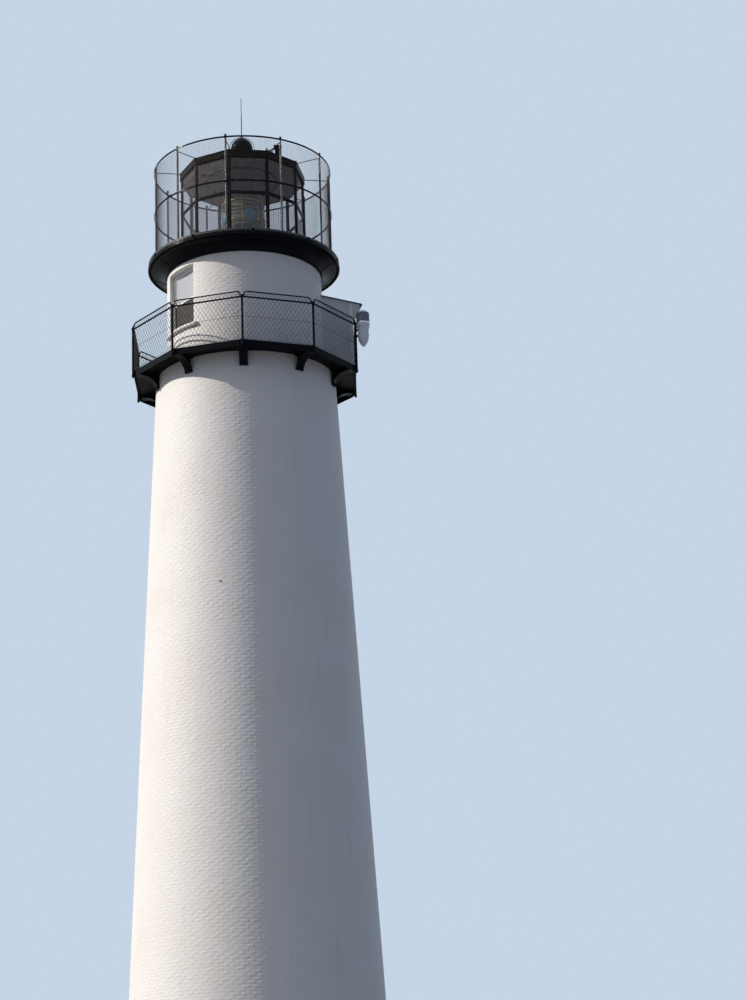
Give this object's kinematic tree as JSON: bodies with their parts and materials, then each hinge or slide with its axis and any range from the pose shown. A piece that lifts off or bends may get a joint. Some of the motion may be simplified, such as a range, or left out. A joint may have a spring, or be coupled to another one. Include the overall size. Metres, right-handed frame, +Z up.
{
  "type": "brick lighthouse tower",
  "caption": "Tapered white brick lighthouse with a railed lower gallery, watch room, caged upper gallery and ten-sided lantern.",
  "frame": {"origin": "centre of the shaft's base, on the ground", "axes": "+Z up along the tower's axis, -Y towards the side the picture was taken from, +X towards the vestibule side"},
  "size_m": [6.136, 6.136, 27.636],
  "materials": {
    "white_brick": "thick white paint over brick courses",
    "concrete_floor": "bare concrete",
    "black_iron": "glossy black paint",
    "dark_paint": "dark painted boards",
    "white_paint": "white painted wood",
    "white_boards": "white painted boards",
    "window_glass": "clear",
    "lantern_glass": "clear plate",
    "lens_glass": "cut prisms",
    "red_glass": "red sheet",
    "brown_lining": "brown painted boards",
    "brass": "dull brass",
    "pale_housing": "satin pale grey"
  },
  "bodies": {
    "root": {"cage_mid_ring": "black_iron", "cage_posts": "black_iron", "cage_stays": "black_iron", "cage_top_ring": "black_iron", "cornice": "black_iron", "deck_rim": "black_iron", "entrance_door": "dark_paint", "entrance_frame": "dark_paint", "gallery_brackets": "black_iron", "gallery_deck": "black_iron", "gallery_door": "dark_paint", "gallery_posts": "black_iron", "gallery_rails": "black_iron", "ground_floor": "concrete_floor", "lantern_bars": "black_iron", "lantern_ceiling": "brown_lining", "lantern_curb": "black_iron", "lantern_eave": "black_iron", "lantern_floor": "black_iron", "lantern_glass": "lantern_glass", "lantern_mullions": "black_iron", "lantern_roof": "black_iron", "lens_crown": "brass", "lens_glass": "lens_glass", "lens_stand": "black_iron", "lightning_rod": "black_iron", "red_screen": "red_glass", "roof_box": "black_iron", "roof_vent": "black_iron", "shaft_wall_1": "white_brick", "shaft_wall_2": "white_brick", "shaft_wall_3": "white_brick", "shaft_wall_4": "white_brick", "shaft_wall_5": "white_brick", "shaft_wall_6": "white_brick", "signal_housing": "pale_housing", "signal_housing_straps": "black_iron", "upper_deck": "black_iron", "vestibule_door": "white_boards", "vestibule_front": "white_boards", "vestibule_roof": "dark_paint", "vestibule_sides": "white_boards", "watch_room_floor": "black_iron", "watch_room_wall_1": "white_brick", "watch_room_wall_2": "white_brick", "watch_room_wall_3": "white_brick", "watch_room_wall_4": "white_brick", "watch_room_wall_5": "white_brick", "window_frames": "white_paint", "window_glass": "window_glass", "window_sashes": "white_paint", "window_sills": "white_paint"}
  },
  "joints": []
}
